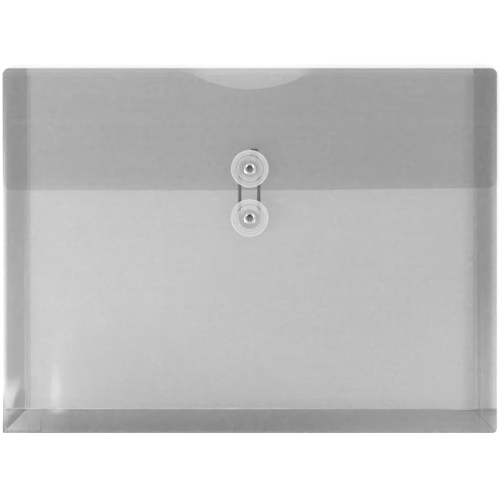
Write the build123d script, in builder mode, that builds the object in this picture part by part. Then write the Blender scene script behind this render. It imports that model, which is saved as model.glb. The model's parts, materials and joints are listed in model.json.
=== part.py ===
from math import acos, atan, cos, radians, sin
import os

from build123d import *

os.makedirs("parts", exist_ok=True)

# Envelope: it lies on its back, with the flap at +Y and its front facing +Z
envelope_width = 330.0
envelope_height = 243.5
sheet = 0.4
fold_clear = 0.06  # left between two sheets that meet at a fold
top_corner_radius = 4.5
right_corner_radius = 2.5
left_corner_radius = 0.8

# Gussets: two leaves on each of three sides, mitred where they meet
gusset_width = 16.5
gusset_rest_angle = 5.0
gusset_top_gap = 5.4  # from the envelope's top edge to the end of a side leaf
mitre_clear = 0.15
mitre_start_share = 0.35  # of a corner's radius
left_cut_gap = 0.3  # from the left gusset to the square-cut end of the bottom front leaf
left_cut_step = 8.9  # from that end to the one of the bottom back leaf

# Front panel, a sheet with turned-down edges
front_inset = 0.4
front_top_gap = 2.6
lip_height = 3.0
lip_radius = 2.4
lip_corner_radius = 3.2
notch_chord = 81.0
notch_depth = 11.6

# Flap
flap_length = 81.5
flap_gap = 1.2  # between the front panel and the flap
flap_corner_radius = 7.0
score_first = 8.7  # from the top edge
score_pitch = 10.0
score_count = 4
score_width = 0.6
score_depth = 0.12

# Buttons, in order from the sheet up
upper_button_inset = 14.3  # from the flap's lower edge up to the disc's middle
button_pitch = 32.7
seat_clear = 0.04
hub_radius = 5.5
hub_height = 3.3
disc_radius = 12.5
disc_thickness = 1.5
rim_width = 1.0
rim_height = 0.3
rim_chamfer = 0.25
recess_radius = 9.25
recess_depth = 0.35
dish_radius = 6.0
dish_depth = 0.3
turn_clear = 0.1

# Eyelets and backing washers
eyelet_bore_radius = 1.95
eyelet_wall = 0.35
flange_radius = 4.05
flange_height = 0.55
flange_chamfer = 0.22
roll_radius = 3.4
roll_height = 0.3
washer_radius = 6.0
washer_thickness = 0.3

# String
string_diameter = 1.8
string_clear = 0.15
string_rise_upper = 1.36  # middle of the string above the flap, at the upper hub
string_rise_lower = 2.08  # middle of the string above the front panel, at the lower hub
tail_bend_radius = 2.5
tail_middle = 2.9  # the tied ends lie to the right of the middle
tail_spacing = 2.4
tail_end = 13.2  # above the upper hub's middle
knot_start = 9.7
knot_end = 12.7
knot_wall = 0.4
knot_clear = 0.05
gap_samples = 240
near_turns_share = 1.6  # of the diameter: points closer along the string are not compared

# Where everything lies
half_width = envelope_width / 2
half_height = envelope_height / 2
layer = sheet + fold_clear
string_radius = string_diameter / 2
rest_angle = radians(gusset_rest_angle)
back_hinge_z = sheet + fold_clear / 2
hinge_rise = 2 * gusset_width * sin(rest_angle) + 2 * layer * cos(rest_angle)
front_hinge_z = back_hinge_z + hinge_rise
lip_end_z = front_hinge_z + fold_clear / 2
front_z = lip_end_z + lip_height
flap_in_z = front_z + flap_gap
flap_z = flap_in_z + sheet
fold_radius = flap_z / 2
fold_y = half_height - fold_radius
front_top_y = half_height - front_top_gap
upper_y = half_height - flap_length + upper_button_inset
lower_y = upper_y - button_pitch
barrel_radius = eyelet_bore_radius + eyelet_wall
hole_radius = barrel_radius + turn_clear


def box_between(x0, x1, y0, y1):
    """A rectangle between two pairs of lines, in the sketch that is open."""
    with Locations(((x0 + x1) / 2, (y0 + y1) / 2)):
        Rectangle(x1 - x0, y1 - y0)


def corner(corners, right, top):
    """The corner of a sketch at the right or left, and at the top or bottom."""
    rows = corners.sort_by(Axis.Y)
    pair = rows[-2:] if top else rows[:2]
    return pair.sort_by(Axis.X)[-1 if right else 0]


def quarter_shell(upper):
    """The upper or lower quarter of the top fold, with rounded ends in plan."""
    side = Align.MIN if upper else Align.MAX
    shift = fold_clear / 2 if upper else -fold_clear / 2
    with BuildSketch(Plane.YZ) as ring:
        with Locations((fold_y, fold_radius)):
            Circle(fold_radius)
            Circle(fold_radius - sheet, mode=Mode.SUBTRACT)
        with Locations((fold_y + fold_clear / 2, fold_radius + shift)):
            Rectangle(2 * fold_radius, 2 * fold_radius, align=(Align.MIN, side), mode=Mode.INTERSECT)
    extrude(ring.sketch, amount=half_width, both=True)
    with BuildSketch(Plane.XY) as plan:
        box_between(-half_width, half_width, -half_height, half_height)
        fillet(corner(plan.vertices(), True, True), top_corner_radius)
        fillet(corner(plan.vertices(), False, True), top_corner_radius)
    extrude(plan.sketch, amount=2 * flap_z, mode=Mode.INTERSECT)


def leaf_plane(edge, inward, is_front):
    """The plane of a gusset leaf: its Y axis runs from the outer fold to the inner one."""
    up = Vector(0, 0, 1)
    along = inward * cos(rest_angle) + up * sin(rest_angle)
    normal = up * cos(rest_angle) - inward * sin(rest_angle)
    hinge = edge + up * back_hinge_z
    if is_front:
        apex = hinge + along * gusset_width + normal * layer
        along = inward * cos(rest_angle) - up * sin(rest_angle)
        normal = up * cos(rest_angle) + inward * sin(rest_angle)
        hinge = apex - along * gusset_width
    return Plane(origin=hinge, x_dir=inward.cross(up), z_dir=normal)


def mitred_end(half, radius):
    """The end of a leaf as points from its outer fold to its inner one."""
    start = mitre_start_share * radius
    inner = gusset_width - fold_clear / 2
    return [
        (half - radius, fold_clear / 2),
        (half - start - mitre_clear, start),
        (half - inner - mitre_clear, inner),
    ]


def square_end(place):
    """A square end of a leaf as points from its outer fold to its inner one."""
    return [(place, fold_clear / 2), (place, gusset_width - fold_clear / 2)]


def mirrored(points):
    """The same end of a leaf, on the other side."""
    return [(-x, y) for x, y in points]


def leaf(edge, inward, is_front, first, last):
    """One gusset leaf between two ends."""
    with BuildSketch(leaf_plane(edge, inward, is_front).offset(fold_clear / 2)) as shape:
        with BuildLine():
            Polyline(*first, *reversed(last), close=True)
        make_face()
    extrude(shape.sketch, amount=sheet)


def turned(points, bevels, y, z):
    """A solid of revolution about a vertical line, with some corners of its profile bevelled."""
    section = Plane(origin=(0, y, z), x_dir=(1, 0, 0), z_dir=(0, -1, 0))
    with BuildSketch(section) as profile:
        with BuildLine():
            Polyline(*points, close=True)
        make_face()
        for place, length in bevels:
            spot = Vector(*points[place])
            chamfer(profile.vertices().sort_by_distance(spot)[0], length)
    revolve(profile.sketch, axis=Axis((0, y, z), (0, 0, 1)))


def button(y, z):
    """A disc with its hub, over a sheet whose outer face is at z."""
    disc_z = hub_height + disc_thickness
    recess_z = disc_z - recess_depth
    dish_z = recess_z - dish_depth
    points = [
        (hole_radius, seat_clear),
        (hub_radius, seat_clear),
        (hub_radius, hub_height),
        (disc_radius, hub_height),
        (disc_radius, disc_z + rim_height),
        (disc_radius - rim_width, disc_z + rim_height),
        (disc_radius - rim_width, disc_z),
        (recess_radius, disc_z),
        (recess_radius, recess_z),
        (dish_radius, recess_z),
        (flange_radius + turn_clear, dish_z),
        (hole_radius, dish_z),
    ]
    turned(points, [(3, rim_chamfer), (4, rim_chamfer), (5, rim_chamfer), (7, rim_chamfer)], y, z)


def eyelet(y, z):
    """A tube with a domed flange above the button and a rolled end below the washer."""
    seat = hub_height + disc_thickness - recess_depth - dish_depth + seat_clear
    under = -sheet - seat_clear - washer_thickness - seat_clear
    points = [
        (eyelet_bore_radius, under - roll_height),
        (roll_radius, under - roll_height),
        (roll_radius, under),
        (barrel_radius, under),
        (barrel_radius, seat),
        (flange_radius, seat),
        (flange_radius, seat + flange_height),
        (eyelet_bore_radius, seat + flange_height),
    ]
    turned(points, [(6, flange_chamfer), (7, flange_chamfer)], y, z)


def washer(y, z):
    """The backing washer under a sheet whose outer face is at z."""
    top = z - sheet - seat_clear
    with BuildSketch(Plane(origin=(0, y, top - washer_thickness))) as ring:
        Circle(washer_radius)
        Circle(hole_radius, mode=Mode.SUBTRACT)
    extrude(ring.sketch, amount=washer_thickness)


# The string's route, in a plane that slopes from the upper hub to the lower one
upper_string_z = flap_z + string_rise_upper
lower_string_z = front_z + string_rise_lower
slope = atan((upper_string_z - lower_string_z) / button_pitch)
route_normal = Vector(0, -sin(slope), cos(slope))
route_plane = Plane(origin=(0, upper_y, upper_string_z), x_dir=(1, 0, 0), z_dir=route_normal)
loop_radius = hub_radius + string_radius + string_clear
reach = button_pitch / cos(slope)
bend_radius = loop_radius + tail_bend_radius


def shoulder(tail_x):
    """From a strand beside the upper hub to a tail: the end and middle points of two arcs."""
    turn = acos((tail_bend_radius - tail_x) / bend_radius)
    half_turn = turn / 2
    swing_x = tail_x - tail_bend_radius
    swing_y = bend_radius * sin(turn)
    meet = (-loop_radius * cos(turn), loop_radius * sin(turn))
    first_mid = (-loop_radius * cos(half_turn), loop_radius * sin(half_turn))
    last_mid = (swing_x + tail_bend_radius * cos(half_turn), swing_y - tail_bend_radius * sin(half_turn))
    return first_mid, meet, last_mid, (tail_x, swing_y)


left_tail = tail_middle - tail_spacing / 2
right_tail = tail_middle + tail_spacing / 2
left_mid, left_meet, left_bend, left_top = shoulder(left_tail)
right_mid, right_meet, right_bend, right_top = [(-x, y) for x, y in shoulder(-right_tail)]


def string_route():
    """The string's middle line, from one tail round both hubs to the other."""
    Line((left_tail, tail_end), left_top)
    ThreePointArc(left_top, left_bend, left_meet)
    ThreePointArc(left_meet, left_mid, (-loop_radius, 0))
    Line((-loop_radius, 0), (-loop_radius, -reach))
    ThreePointArc((-loop_radius, -reach), (0, -reach - loop_radius), (loop_radius, -reach))
    Line((loop_radius, -reach), (loop_radius, 0))
    ThreePointArc((loop_radius, 0), right_mid, right_meet)
    ThreePointArc(right_meet, right_bend, right_top)
    Line(right_top, (right_tail, tail_end))


# Sheets
with BuildPart() as back_panel:
    with BuildSketch() as outline:
        box_between(-half_width, half_width, -half_height, fold_y)
        fillet(corner(outline.vertices(), True, False), right_corner_radius)
        fillet(corner(outline.vertices(), False, False), left_corner_radius)
    extrude(amount=sheet)
back_panel.part.label = "back_panel"
export_step(back_panel.part, "parts/back_panel.step")

with BuildPart() as spine_web:
    quarter_shell(upper=False)
spine_web.part.label = "spine_web"
export_step(spine_web.part, "parts/spine_web.step")

with BuildPart() as flap_fold:
    quarter_shell(upper=True)
flap_fold.part.label = "flap_fold"
export_step(flap_fold.part, "parts/flap_fold.step")

with BuildPart() as flap_panel:
    with BuildSketch(Plane.XY.offset(flap_in_z)) as outline:
        box_between(-half_width, half_width, half_height - flap_length, fold_y - fold_clear / 2)
        fillet(corner(outline.vertices(), True, False), flap_corner_radius)
        fillet(corner(outline.vertices(), False, False), flap_corner_radius)
        with Locations((0, upper_y)):
            Circle(hole_radius, mode=Mode.SUBTRACT)
    extrude(amount=sheet)
    with BuildSketch(Plane.XY.offset(flap_z)):
        for number in range(score_count):
            with Locations((0, half_height - score_first - number * score_pitch)):
                Rectangle(envelope_width, score_width)
    extrude(amount=-score_depth, mode=Mode.SUBTRACT)
flap_panel.part.label = "flap_panel"
export_step(flap_panel.part, "parts/flap_panel.step")

with BuildPart() as front_panel:
    with BuildSketch(Plane.XY.offset(lip_end_z)) as outline:
        front_right = half_width - front_inset
        box_between(-front_right, front_right, -half_height + front_inset, front_top_y)
        fillet(corner(outline.vertices(), True, False), lip_corner_radius)
        fillet(corner(outline.vertices(), False, False), lip_corner_radius)
    extrude(amount=lip_height)
    rim = front_panel.faces().sort_by(Axis.Z)[-1].edges()
    fillet(rim.sort_by(Axis.Y)[:-1], lip_radius)
    under = front_panel.faces().sort_by(Axis.Z)[0]
    mouth = front_panel.faces().filter_by(Axis.Y).sort_by(Axis.Y)[-1]
    offset(amount=-sheet, openings=[under, mouth])
    notch_radius = (notch_chord * notch_chord / 4 + notch_depth * notch_depth) / (2 * notch_depth)
    with BuildSketch(Plane.XY.offset(front_z)):
        with Locations((0, front_top_y - notch_depth + notch_radius)):
            Circle(notch_radius)
        with Locations((0, lower_y)):
            Circle(hole_radius)
    extrude(amount=-lip_height, mode=Mode.SUBTRACT)
front_panel.part.label = "front_panel"
export_step(front_panel.part, "parts/front_panel.step")

# Gusset leaves
left_edge = Vector(-half_width, 0, 0)
right_edge = Vector(half_width, 0, 0)
bottom_edge = Vector(0, -half_height, 0)
leaf_top = half_height - gusset_top_gap
left_mitre = mitred_end(half_height, left_corner_radius)
right_mitre = mirrored(mitred_end(half_height, right_corner_radius))
bottom_mitre = mitred_end(half_width, right_corner_radius)
left_cut_front = gusset_width + left_cut_gap - half_width
left_cut_back = left_cut_front + left_cut_step

with BuildPart() as left_gusset_back:
    leaf(left_edge, Vector(1, 0, 0), False, square_end(-leaf_top), left_mitre)
left_gusset_back.part.label = "left_gusset_back"
export_step(left_gusset_back.part, "parts/left_gusset_back.step")

with BuildPart() as left_gusset_front:
    leaf(left_edge, Vector(1, 0, 0), True, square_end(-leaf_top), left_mitre)
left_gusset_front.part.label = "left_gusset_front"
export_step(left_gusset_front.part, "parts/left_gusset_front.step")

with BuildPart() as right_gusset_back:
    leaf(right_edge, Vector(-1, 0, 0), False, right_mitre, square_end(leaf_top))
right_gusset_back.part.label = "right_gusset_back"
export_step(right_gusset_back.part, "parts/right_gusset_back.step")

with BuildPart() as right_gusset_front:
    leaf(right_edge, Vector(-1, 0, 0), True, right_mitre, square_end(leaf_top))
right_gusset_front.part.label = "right_gusset_front"
export_step(right_gusset_front.part, "parts/right_gusset_front.step")

with BuildPart() as bottom_gusset_back:
    leaf(bottom_edge, Vector(0, 1, 0), False, square_end(left_cut_back), bottom_mitre)
bottom_gusset_back.part.label = "bottom_gusset_back"
export_step(bottom_gusset_back.part, "parts/bottom_gusset_back.step")

with BuildPart() as bottom_gusset_front:
    leaf(bottom_edge, Vector(0, 1, 0), True, square_end(left_cut_front), bottom_mitre)
bottom_gusset_front.part.label = "bottom_gusset_front"
export_step(bottom_gusset_front.part, "parts/bottom_gusset_front.step")

# Buttons with their eyelets and washers
with BuildPart() as upper_button:
    button(upper_y, flap_z)
upper_button.part.label = "upper_button"
export_step(upper_button.part, "parts/upper_button.step")

with BuildPart() as lower_button:
    button(lower_y, front_z)
lower_button.part.label = "lower_button"
export_step(lower_button.part, "parts/lower_button.step")

with BuildPart() as upper_eyelet:
    eyelet(upper_y, flap_z)
upper_eyelet.part.label = "upper_eyelet"
export_step(upper_eyelet.part, "parts/upper_eyelet.step")

with BuildPart() as lower_eyelet:
    eyelet(lower_y, front_z)
lower_eyelet.part.label = "lower_eyelet"
export_step(lower_eyelet.part, "parts/lower_eyelet.step")

with BuildPart() as upper_washer:
    washer(upper_y, flap_z)
upper_washer.part.label = "upper_washer"
export_step(upper_washer.part, "parts/upper_washer.step")

with BuildPart() as lower_washer:
    washer(lower_y, front_z)
lower_washer.part.label = "lower_washer"
export_step(lower_washer.part, "parts/lower_washer.step")

# String
with BuildPart() as string_loop:
    with BuildLine(route_plane) as route:
        string_route()
    tail_plane = Plane(origin=route.wires()[0] @ 0, z_dir=route.wires()[0] % 0)
    with BuildSketch(tail_plane):
        Circle(string_radius)
    sweep(path=route.wires()[0])
string_loop.part.label = "string_loop"
export_step(string_loop.part, "parts/string_loop.step")

with BuildPart() as string_knot:
    knot_plane = Plane(
        origin=route_plane.from_local_coords(Vector(tail_middle, knot_start, 0)),
        x_dir=(1, 0, 0),
        z_dir=route_plane.y_dir,
    )
    bore_radius = string_radius + knot_clear
    knot_height = 2 * (bore_radius + knot_wall)
    with BuildSketch(knot_plane):
        SlotCenterToCenter(tail_spacing, knot_height)
        with Locations((-tail_spacing / 2, 0), (tail_spacing / 2, 0)):
            Circle(bore_radius, mode=Mode.SUBTRACT)
    extrude(amount=knot_end - knot_start)
string_knot.part.label = "string_knot"
export_step(string_knot.part, "parts/string_knot.step")

# The least gap that the string leaves to itself
middle_line = route.wires()[0]
spots = [middle_line @ (place / gap_samples) for place in range(gap_samples + 1)]
step = middle_line.length / gap_samples
apart = int(near_turns_share * string_diameter / step) + 1
gaps = []
for place, spot in enumerate(spots):
    for other in spots[place + apart:]:
        gaps.append((spot - other).length - string_diameter)
print("string length", round(middle_line.length, 1), "least gap to itself", round(min(gaps), 2))
print("front panel outer face", round(front_z, 3), "flap outer face", round(flap_z, 3))
print("front hinge", round(front_hinge_z, 3), "back hinge", round(back_hinge_z, 3))
print("fold radius", round(fold_radius, 3))
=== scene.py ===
import json
import math

import bmesh
import bpy
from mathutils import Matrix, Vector


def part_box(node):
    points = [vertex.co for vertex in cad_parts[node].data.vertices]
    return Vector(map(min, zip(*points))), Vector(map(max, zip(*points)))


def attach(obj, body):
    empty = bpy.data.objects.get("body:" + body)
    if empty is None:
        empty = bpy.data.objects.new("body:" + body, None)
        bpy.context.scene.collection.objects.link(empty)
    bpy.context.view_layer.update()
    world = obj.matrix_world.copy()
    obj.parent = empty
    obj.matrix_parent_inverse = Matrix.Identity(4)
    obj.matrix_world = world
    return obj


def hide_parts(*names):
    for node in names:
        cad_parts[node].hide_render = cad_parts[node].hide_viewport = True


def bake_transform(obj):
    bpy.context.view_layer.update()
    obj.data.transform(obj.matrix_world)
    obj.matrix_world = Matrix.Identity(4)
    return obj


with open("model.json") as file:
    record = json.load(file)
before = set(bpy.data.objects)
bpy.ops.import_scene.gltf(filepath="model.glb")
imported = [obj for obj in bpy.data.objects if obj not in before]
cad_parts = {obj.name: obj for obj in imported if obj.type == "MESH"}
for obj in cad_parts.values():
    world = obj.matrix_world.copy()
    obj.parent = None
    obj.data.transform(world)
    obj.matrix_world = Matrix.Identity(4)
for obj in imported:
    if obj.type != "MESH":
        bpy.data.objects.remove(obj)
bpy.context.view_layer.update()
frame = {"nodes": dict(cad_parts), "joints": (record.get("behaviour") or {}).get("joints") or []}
nodes = frame["nodes"]

# Sizes read from the frame, in metres
MM = 0.001
back_low, back_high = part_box("back_panel")
front_low, front_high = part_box("front_panel")
flap_low, flap_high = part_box("flap_panel")
fold_low, fold_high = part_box("flap_fold")
web_low, web_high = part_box("spine_web")
SHEET = back_high.z - back_low.z
HALF_WIDTH = back_high.x
HALF_HEIGHT = fold_high.y
FLAP_Z = flap_high.z
FRONT_Z = front_high.z


def middle_of(node):
    low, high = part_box(node)
    return (low + high) / 2


UPPER_Y = middle_of("upper_button").y
LOWER_Y = middle_of("lower_button").y

# The photograph's frame
IMAGE_SIDE = 500
PIXEL = 0.6675 * MM
MIDDLE_COLUMN = 249.8
MIDDLE_ROW = 250.58
CAMERA_HEIGHT = 4.0
CAMERA_SENSOR = 36.0
OUTLINE_Z = 2.0 * MM  # the height at which PIXEL is measured


def column_x(column):
    """Where a column of the photograph falls across the envelope."""
    return (column - MIDDLE_COLUMN) * PIXEL


def row_y(row):
    """Where a row of the photograph falls along the envelope."""
    return (MIDDLE_ROW - row) * PIXEL


def new_object(name, data):
    made = bpy.data.objects.new(name, data)
    bpy.context.scene.collection.objects.link(made)
    return made


def add_camera():
    camera = new_object("camera", bpy.data.cameras.new("camera"))
    camera.location = (column_x(IMAGE_SIDE / 2), row_y(IMAGE_SIDE / 2), CAMERA_HEIGHT)
    camera.data.sensor_width = CAMERA_SENSOR
    camera.data.lens = CAMERA_SENSOR * (CAMERA_HEIGHT - OUTLINE_Z) / (IMAGE_SIDE * PIXEL)
    bpy.context.scene.camera = camera


# Materials
NOISE_LOW = 0.3
NOISE_HIGH = 0.7
NOISE_DETAIL = 3.0


class Tree:
    """The node tree of a material or world, with short calls to add nodes and links."""

    def __init__(self, owner, place="Object"):
        owner.use_nodes = True
        self.owner = owner
        self.nodes = owner.node_tree.nodes
        self.links = owner.node_tree.links
        self.nodes.clear()
        self.place = self.add("ShaderNodeTexCoord").outputs[place]
        axes = self.add("ShaderNodeSeparateXYZ", {"Vector": self.place}).outputs
        self.x, self.y, self.z = axes["X"], axes["Y"], axes["Z"]

    def set(self, socket, value):
        if isinstance(value, bpy.types.NodeSocket):
            self.links.new(value, socket)
        else:
            socket.default_value = value

    def add(self, kind, inputs=(), **settings):
        node = self.nodes.new(kind)
        for name, value in settings.items():
            setattr(node, name, value)
        for name, value in dict(inputs).items():
            self.set(node.inputs[name], value)
        return node

    def maths(self, operation, first, second=0.0):
        node = self.add("ShaderNodeMath", operation=operation)
        self.set(node.inputs[0], first)
        self.set(node.inputs[1], second)
        return node.outputs[0]

    def product(self, first, *others):
        for other in others:
            first = self.maths("MULTIPLY", first, other)
        return first

    def total(self, first, *others):
        for other in others:
            first = self.maths("ADD", first, other)
        return first

    def less(self, first, second):
        return self.maths("SUBTRACT", first, second)

    def distance(self, across, along):
        flat = self.add("ShaderNodeCombineXYZ", {"X": across, "Y": along}).outputs[0]
        return self.add("ShaderNodeVectorMath", {0: flat}, operation="LENGTH").outputs["Value"]

    def ramp(self, value, low, high, to_low, to_high, kind="SMOOTHSTEP"):
        """A value carried from one range to another, by a smooth step or another kind, and held beyond it."""
        ends = {"Value": value, "From Min": low, "From Max": high, "To Min": to_low, "To Max": to_high}
        return self.add("ShaderNodeMapRange", ends, interpolation_type=kind).outputs["Result"]

    def step(self, value, place, blur, before, after):
        """A smooth step at a place, as far to either side of it as the blur."""
        return self.ramp(value, place - blur, place + blur, before, after)

    def noise(self, scale, low, high, stretch=(1, 1, 1), detail=NOISE_DETAIL):
        """Noise whose usual spread is carried to the range from low to high."""
        moved = self.add("ShaderNodeMapping", {"Vector": self.place, "Scale": stretch}).outputs[0]
        inputs = {"Vector": moved, "Scale": scale, "Detail": detail}
        value = self.add("ShaderNodeTexNoise", inputs).outputs["Fac"]
        return self.ramp(value, NOISE_LOW, NOISE_HIGH, low, high)

    def grain(self, scale, strength, depth, detail=NOISE_DETAIL):
        """The normal of a finely uneven surface."""
        height = self.noise(scale, 0.0, 1.0, detail=detail)
        inputs = {"Height": height, "Strength": strength, "Distance": depth}
        return self.add("ShaderNodeBump", inputs).outputs[0]

    def tones(self, share, first, second):
        """A colour between two."""
        mix = self.add("ShaderNodeMix", data_type="RGBA")
        colours = [socket for socket in mix.inputs if socket.type == "RGBA"]
        self.set(mix.inputs["Factor"], share)
        self.set(colours[0], first)
        self.set(colours[1], second)
        return next(socket for socket in mix.outputs if socket.type == "RGBA")

    def principled(self, inputs):
        return self.add("ShaderNodeBsdfPrincipled", inputs).outputs[0]

    def see_through(self, cover, shader):
        clear = self.add("ShaderNodeBsdfTransparent").outputs[0]
        return self.add("ShaderNodeMixShader", {0: cover, 1: clear, 2: shader}).outputs[0]

    def finish(self, shader, output="ShaderNodeOutputMaterial"):
        self.add(output, {"Surface": shader})
        return self.owner


def new_tree(name):
    return Tree(bpy.data.materials.new(name))


SMOKE = (0.07, 0.07, 0.0715, 1)
# A pale plastic colour: welded and bent plastic goes pale, and on the scores it also stands for a painted
# highlight
PALE_WHITENING_AND_HIGHLIGHT = (0.75, 0.75, 0.755, 1)
WHITENING_AND_HIGHLIGHT_COVER = 0.10
PANEL_COVER = 0.143
FLAP_COVER = 0.160
LEFT_LEAF_COVER = 0.088
RIGHT_LEAF_COVER = 0.092
BOTTOM_LEAF_COVER = 0.118
LEFT_NOSE_COVER = 0.036
NOSE_COVER = 0.06
WELD_COVER = 0.26
DOT_COVER = 0.02
DOT_HAZE = 0.21
TUCK_COVER = 0.105
LEAST_SLANT = 0.22
FOLD_LEAST_SLANT = 0.6
SHEET_IOR = 2.2  # the gloss of a whole sheet, on the small share of light that a face stops
LEAF_IOR = 1.3
# Noise is given by its scale, its range and any stretch, grain by its scale, strength, depth and any detail
SHEET_STREAKS = (7, 0.98, 1.02, (1, 60, 1))
SHEET_CLOUDS = (11, 0.98, 1.02)
SHEET_SPECKS = (420, 0.985, 1.015)
SHEET_ROUGHNESS = (60, 0.22, 0.30)
SHEET_GRAIN = (1300, 0.08, 0.02 * MM, 2.0)
BOTTOM_SCORE_Y = row_y(408.3)
SCORE_BLUR = 0.25 * MM
LEFT_SCORE_X = column_x(25.3)
RIGHT_SCORE_X = column_x(475.5)

# Painted light: the sheets are made clearer at the envelope's sides, where light reaches in under the edges,
# less so near its top
LEFT_CLEAR_NEAR = 0.3 * MM
LEFT_CLEAR_FAR = 3.9 * MM
LEFT_CLEAR_SHARE = 0.76
RIGHT_CLEAR_NEAR = 0.8 * MM
RIGHT_CLEAR_FAR = 6.4 * MM
RIGHT_CLEAR_SHARE = 0.42
CLEAR_TOP_Y = row_y(70)
CLEAR_FULL_Y = row_y(220)
CLEAR_TOP_SHARE = 0.1
CLEAR_LOW_Y = row_y(386)
CLEAR_END_Y = row_y(424)
RIGHT_FOOT_CLEAR_SHARE = 0.5


# One less the painted light at the sides, as a share of the density
def edge_light_density(tree):
    left = tree.ramp(tree.x, LEFT_CLEAR_NEAR - HALF_WIDTH, LEFT_CLEAR_FAR - HALF_WIDTH, LEFT_CLEAR_SHARE, 0.0)
    far, near = HALF_WIDTH - RIGHT_CLEAR_FAR, HALF_WIDTH - RIGHT_CLEAR_NEAR
    right = tree.ramp(tree.x, far, near, 0.0, RIGHT_CLEAR_SHARE)
    lower = tree.ramp(tree.y, CLEAR_FULL_Y, CLEAR_TOP_Y, 1.0, CLEAR_TOP_SHARE)
    corner = tree.ramp(tree.y, CLEAR_END_Y, CLEAR_LOW_Y, 0.0, 1.0)
    foot = tree.ramp(tree.y, BOTTOM_SCORE_Y - SCORE_BLUR, BOTTOM_SCORE_Y, RIGHT_FOOT_CLEAR_SHARE, 1.0)
    clear = tree.product(tree.total(tree.product(left, corner), tree.product(right, foot)), lower)
    return tree.less(1.0, clear)


def smoke_sheet(
    name, cover, thickness_and_shading=None, whitening_and_highlight=None, ior=SHEET_IOR, least_slant=LEAST_SLANT, colour=SMOKE, haze=0
):
    """See-through plastic: cover is the share of light that a face stops, seen square on; haze adds to it.
    The two functions, given the tree, return what multiplies the cover, with any painted light and shade, and
    what makes the plastic pale, with any painted highlight."""
    tree = new_tree(name)
    uneven = [tree.noise(*values) for values in (SHEET_STREAKS, SHEET_CLOUDS, SHEET_SPECKS)]
    density = tree.product(edge_light_density(tree), *uneven, cover)
    if thickness_and_shading:
        density = tree.product(density, thickness_and_shading(tree))
    facing = tree.add("ShaderNodeLayerWeight").outputs["Facing"]
    slant = tree.maths("MAXIMUM", tree.less(1.0, facing), least_slant)
    passed = tree.maths("POWER", tree.less(1.0, density), tree.maths("DIVIDE", 1.0, slant))
    covered = tree.less(1.0 + haze, passed)
    plastic = {
        "Base Color": colour,
        "Roughness": tree.noise(*SHEET_ROUGHNESS),
        "IOR": ior,
        "Specular IOR Level": 1.0,
        "Normal": tree.grain(*SHEET_GRAIN),
    }
    if whitening_and_highlight:
        amount = whitening_and_highlight(tree)
        plastic["Base Color"] = tree.tones(amount, colour, PALE_WHITENING_AND_HIGHLIGHT)
        covered = tree.total(covered, tree.product(amount, WHITENING_AND_HIGHLIGHT_COVER))
    return tree.finish(tree.see_through(covered, tree.principled(plastic)))


# Painted light: the panels are made clearer towards the left, the side from which the light falls
SLOPE_START_X = column_x(8)
SLOPE_END_X = column_x(330)
SLOPE_START_SHARE = 0.80
SLOPE_END_SHARE = 0.98


def left_light_slope(tree):
    return tree.ramp(tree.x, SLOPE_START_X, SLOPE_END_X, SLOPE_START_SHARE, SLOPE_END_SHARE, "LINEAR")


# The back sheet
EDGE_LINE = 0.8 * MM
EDGE_LINE_SHARE = 4.6
RIGHT_EDGE_SHARE = 2.6
RIGHT_EDGE_X = column_x(320)
RIGHT_EDGE_END_X = column_x(450)
CORNER_EDGE = 1.9 * MM
CORNER_EDGE_BLUR = 0.3 * MM
CORNER_EDGE_X = column_x(41)
CORNER_EDGE_SHARE = 0.8
CUT_LINE_X = column_x(40.9)
CUT_LINE_TOP_Y = row_y(414)
CUT_LINE_FULL_Y = row_y(423)
CUT_LINE_SHARE = 1.2


def back_thickness_and_light(tree):
    """Thicker along its bottom edge, in its left corner and beside the cut end of the bottom gusset."""
    line = tree.ramp(tree.x, RIGHT_EDGE_X, RIGHT_EDGE_END_X, EDGE_LINE_SHARE, RIGHT_EDGE_SHARE)
    edge = tree.ramp(tree.y, back_low.y, back_low.y + EDGE_LINE, line, 0.0)
    left = tree.ramp(tree.x, CORNER_EDGE_X - CORNER_EDGE_BLUR, CORNER_EDGE_X, CORNER_EDGE_SHARE, 0.0)
    corner = tree.step(tree.y, back_low.y + CORNER_EDGE, CORNER_EDGE_BLUR, left, 0.0)
    low = tree.ramp(tree.y, CUT_LINE_FULL_Y, CUT_LINE_TOP_Y, CUT_LINE_SHARE, 0.0)
    cut = fine_line(tree, tree.x, CUT_LINE_X, low)
    return tree.product(left_light_slope(tree), tree.total(edge, corner, cut, 1.0))


# The front sheet
# Painted shade: a soft darker ramp on the front towards the right crease
RAMP_START_X = column_x(460)
RAMP_END_X = column_x(471)
RAMP_FALL_X = column_x(480)
RAMP_SHARE = 0.51
RAMP_FALL_SHARE = 0.25
RAMP_LOW_Y = row_y(421)
RAMP_LOW_SHARE = 0.3
MARGIN_X = column_x(32)
MARGIN_END_X = column_x(56)
MARGIN_SHARE = 0.10
MARGIN_TOP_Y = row_y(190)
MARGIN_FULL_Y = row_y(240)
# Painted shade of a sagging pocket: a broad darker place at the front's foot
SAG_X = column_x(235)
SAG_HALF_WIDTH = 150 * MM
SAG_TOP_Y = row_y(345)
SAG_SHADE_SHARE = 0.38
BOTTOM_EDGE = 0.6 * MM
BOTTOM_EDGE_SHARE = 0.3
LINE_CORE = 0.25 * MM
LINE_REACH = 0.6 * MM
# Painted shade: the dark lines beside the scores, on the shaded side of each fold
DARK_LINE_Y = row_y(409.7)
DARK_LINE_X = column_x(474.0)
DARK_LINE_SHARE = 0.6
DARK_END_X = column_x(45)
DARK_GONE_X = column_x(49)
RIGHT_DARK_Y = row_y(410.5)
RIGHT_DARK_X = column_x(452)
RIGHT_DARK_FULL_X = column_x(460)
RIGHT_DARK_SHARE = 0.4
UPRIGHT_DARK_SHARE = 0.2
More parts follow.
